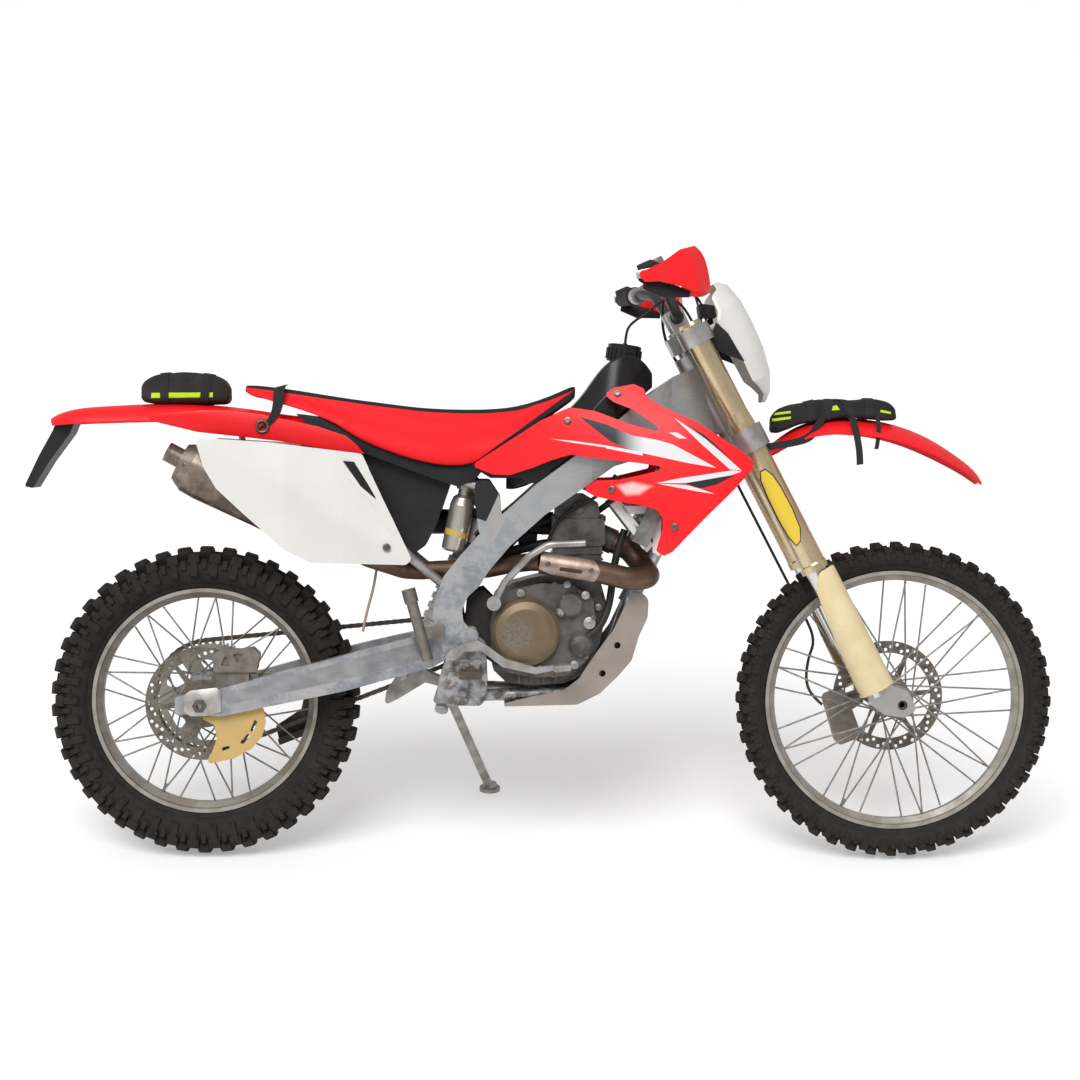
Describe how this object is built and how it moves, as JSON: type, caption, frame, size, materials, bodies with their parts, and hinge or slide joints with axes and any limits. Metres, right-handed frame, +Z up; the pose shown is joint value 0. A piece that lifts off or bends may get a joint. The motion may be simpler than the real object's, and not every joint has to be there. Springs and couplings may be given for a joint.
{
  "type": "trail motorcycle",
  "caption": "Trail motorcycle with knobbly tyres, long upside-down fork, twin-spar frame, red bodywork and strapped tool bags, leaning on its side stand.",
  "frame": {"origin": "on the ground under the middle of the bounding box, the machine leaning on its side stand", "axes": "+X forward towards the front wheel, +Y to the rider's left, +Z up from the ground"},
  "size_m": [2.202, 0.8538, 1.3352],
  "materials": {
    "bag_fabric": "coated fabric",
    "bar_alloy": "satin",
    "black_plastic": "moulded",
    "brake_bronze": "satin",
    "bronze_cover": "worn satin",
    "chain_steel": "oiled",
    "chrome_tube": "polished",
    "clamp_alloy": "machined",
    "control_alloy": "satin",
    "cooler_alloy": "matt",
    "disc_steel": "ground",
    "engine_alloy": "cast, satin",
    "fork_gold": "anodised gold",
    "frame_alloy": "brushed, stained blue in places",
    "grip_rubber": "ribbed",
    "guard_plastic": "aged moulded",
    "header_steel": "heat stained",
    "hub_alloy": "satin",
    "rail_silver": "satin",
    "red_plastic": "glossy moulded",
    "rim_alloy": "satin",
    "seat_cover": "grained cover",
    "shield_alloy": "satin",
    "silencer_steel": "stained",
    "skid_alloy": "dusty satin",
    "spring_steel": "satin",
    "sprocket_alloy": "worn",
    "tank_black": "satin moulded",
    "titanium_can": "satin",
    "tyre_rubber": "knobbly",
    "white_plastic": "moulded"
  },
  "bodies": {
    "chassis": {"main_frame": "frame_alloy", "subframe": "rail_silver", "swingarm": "frame_alloy", "rear_axle": "chain_steel", "shock_absorber": "spring_steel", "shock_reservoir": "titanium_can", "linkage": "control_alloy", "crankcase": "engine_alloy", "drive_pinion": "chain_steel", "clutch_cover": "bronze_cover", "cylinder": "engine_alloy", "carburettor": "black_plastic", "airbox": "black_plastic", "radiators": "cooler_alloy", "exhaust_pipe": "header_steel", "heat_shield": "shield_alloy", "silencer": "silencer_steel", "seat": "seat_cover", "fuel_tank": "tank_black", "shroud_right": "red_plastic", "shroud_left": "red_plastic", "side_panel_right": "white_plastic", "side_panel_left": "white_plastic", "rear_fender": "red_plastic", "tail_bracket": "black_plastic", "tail_bag": "bag_fabric", "skid_plate": "skid_alloy", "footpegs": "chain_steel", "brake_pedal": "control_alloy", "gear_lever": "control_alloy", "kick_lever": "control_alloy", "rear_brake": "brake_bronze", "disc_guard": "guard_plastic", "chain": "chain_steel", "chain_guide": "black_plastic"},
    "fork": {"triple_clamps": "clamp_alloy", "fork_outer_tubes": "fork_gold", "fork_lower_tubes": "chrome_tube", "fork_guards": "guard_plastic", "front_axle": "chain_steel", "handlebar": "bar_alloy", "grips": "grip_rubber", "controls": "control_alloy", "hand_guards": "red_plastic", "number_plate": "white_plastic", "meter": "black_plastic", "front_fender": "red_plastic", "tool_roll": "bag_fabric", "front_brake": "brake_bronze", "brake_hose": "grip_rubber"},
    "front_wheel": {"front_tyre": "tyre_rubber", "front_rim": "rim_alloy", "front_hub": "hub_alloy", "front_disc": "disc_steel"},
    "rear_wheel": {"rear_tyre": "tyre_rubber", "rear_rim": "rim_alloy", "rear_hub": "hub_alloy", "rear_disc": "disc_steel", "rear_sprocket": "sprocket_alloy"},
    "side_stand": {"side_stand": "control_alloy"}
  },
  "joints": [
    {"name": "steering", "type": "hinge", "parent": "chassis", "child": "fork", "pos_m": [0.35188, -0.04957, 0.96679], "axis": [-0.4679, 0.1837, 0.8645], "range_deg": [-42, 42]},
    {"name": "front_wheel_spin", "type": "hinge", "parent": "fork", "child": "front_wheel", "pos_m": [0.76026, -0.18341, 0.33713], "axis": [0, 0.9781, -0.2079], "continuous": true},
    {"name": "rear_wheel_spin", "type": "hinge", "parent": "chassis", "child": "rear_wheel", "pos_m": [-0.72074, -0.18569, 0.32637], "axis": [0, 0.9781, -0.2079], "continuous": true},
    {"name": "side_stand_fold", "type": "hinge", "parent": "chassis", "child": "side_stand", "pos_m": [-0.20874, -0.051, 0.30592], "axis": [0.1782, 0.8127, 0.5548], "range_deg": [0, 100]}
  ]
}
